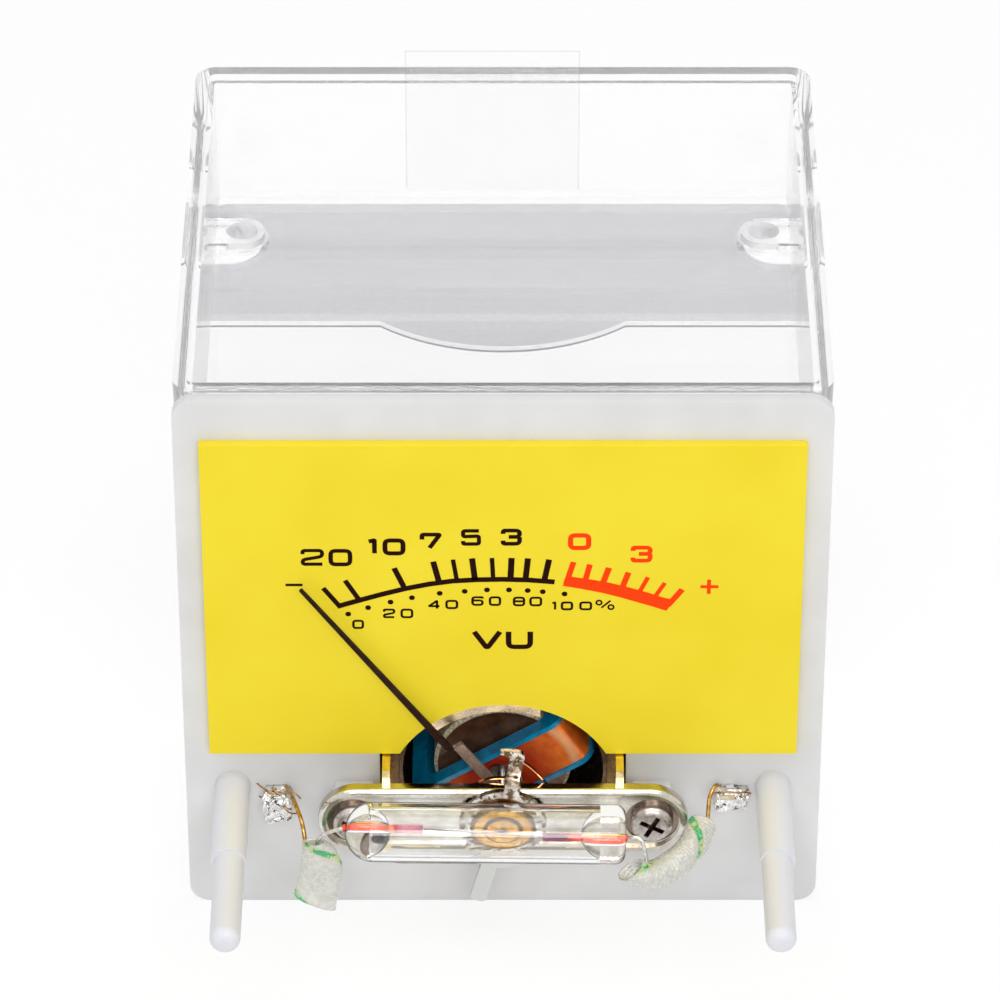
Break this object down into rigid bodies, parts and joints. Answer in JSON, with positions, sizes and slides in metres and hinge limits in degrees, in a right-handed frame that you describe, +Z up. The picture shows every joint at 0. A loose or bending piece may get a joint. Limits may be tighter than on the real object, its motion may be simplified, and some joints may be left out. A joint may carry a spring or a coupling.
{
  "type": "analog vu meter",
  "caption": "Panel moving-coil level meter opened for service: milky base with dial, pointer, coil movement, bridge, lamp and studs, and its clear masked cover laid behind.",
  "frame": {"origin": "midway between the axes of the two locating studs, on the front face of the base plate", "axes": "+Z up the dial, +X to the right of a person who reads the dial, -Y out of the dial along the studs"},
  "size_m": [0.065, 0.0863, 0.0659],
  "materials": {
    "milky_plastic": "milky white moulded polystyrene, lightly glossy, a little translucent",
    "dial_yellow": "flat yellow with black and red printed scale",
    "yoke_iron": "nickel-plated soft iron, turned and sheared faces",
    "bright_nickel": "bright nickel plating",
    "magnet_grey": "ground magnet alloy",
    "brass": "turned brass",
    "screw_nickel": "nickel-plated steel, slightly worn in the recess",
    "spring_bronze": "phosphor bronze strip",
    "lamp_glass": "clear drawn glass",
    "dumet_red": "copper-clad lead seen red through its glass bead",
    "filament": "fine tungsten wire",
    "tinned_wire": "tinned copper wire",
    "lacquered_wire": "copper wire in amber lacquer",
    "braided_sleeve": "milky braided glass-fibre sleeving with green tracer threads",
    "tinned_brass": "tinned brass",
    "solder": "bright lumpy solder",
    "former_blue": "teal-blue lacquered former",
    "enamelled_copper": "fine enamelled copper wire, wound in layers",
    "arbor_steel": "polished steel",
    "holder_aluminium": "thin aluminium strip",
    "pointer_lacquer": "aluminium needle in dark brown lacquer",
    "clear_acrylic": "clear polished acrylic moulding",
    "mask_grey": "silver-grey, satin",
    "clear_tape": "clear adhesive tape"
  },
  "bodies": {
    "base": {"base_plate": "milky_plastic", "dial_plate": "dial_yellow", "yoke": "yoke_iron", "movement_frame": "bright_nickel", "core_magnet": "magnet_grey", "core_strap": "brass", "front_bridge": "bright_nickel", "bridge_screws": "screw_nickel", "front_jewel_screw": "brass", "front_jewel_nut": "brass", "rear_jewel_screw": "brass", "rear_jewel_nut": "brass", "rear_hairspring": "spring_bronze", "spring_anchor": "brass", "lamp_tube": "lamp_glass", "lamp_lead_left": "dumet_red", "lamp_lead_right": "dumet_red", "lamp_filament": "filament", "lamp_wires": "tinned_wire", "feed_wires": "lacquered_wire", "left_sleeve": "braided_sleeve", "right_sleeve": "braided_sleeve", "lamp_terminals": "tinned_brass", "lamp_solder": "solder", "signal_terminals": "tinned_brass", "signal_wires": "lacquered_wire"},
    "moving_coil": {"coil_former": "former_blue", "coil_winding": "enamelled_copper", "front_arbor": "arbor_steel", "rear_arbor": "arbor_steel", "spring_collets": "brass", "pointer_holder": "holder_aluminium", "pointer": "pointer_lacquer", "balance_weight": "brass"},
    "zero_adjuster": {"zero_adjuster": "bright_nickel", "front_hairspring": "spring_bronze"},
    "cover": {"clear_cover": "clear_acrylic", "mask_plate": "mask_grey", "seal_tape": "clear_tape"}
  },
  "joints": [
    {"name": "needle_swing", "type": "hinge", "parent": "base", "child": "moving_coil", "pos_m": [0, 0, -0.001], "axis": [0, 1, 0], "range_deg": [0, 74], "stiffness_Nm_per_rad": 0.00002, "deforming": ["front_hairspring", "rear_hairspring"]},
    {"name": "zero_adjust", "type": "hinge", "parent": "base", "child": "zero_adjuster", "pos_m": [0, 0, -0.001], "axis": [0, 1, 0], "range_deg": [-26, 4], "deforming": ["front_hairspring"]},
    {"name": "cover_lift", "type": "slide", "parent": "base", "child": "cover", "axis": [0, 0, 1], "range_m": [0, 0.04]}
  ]
}
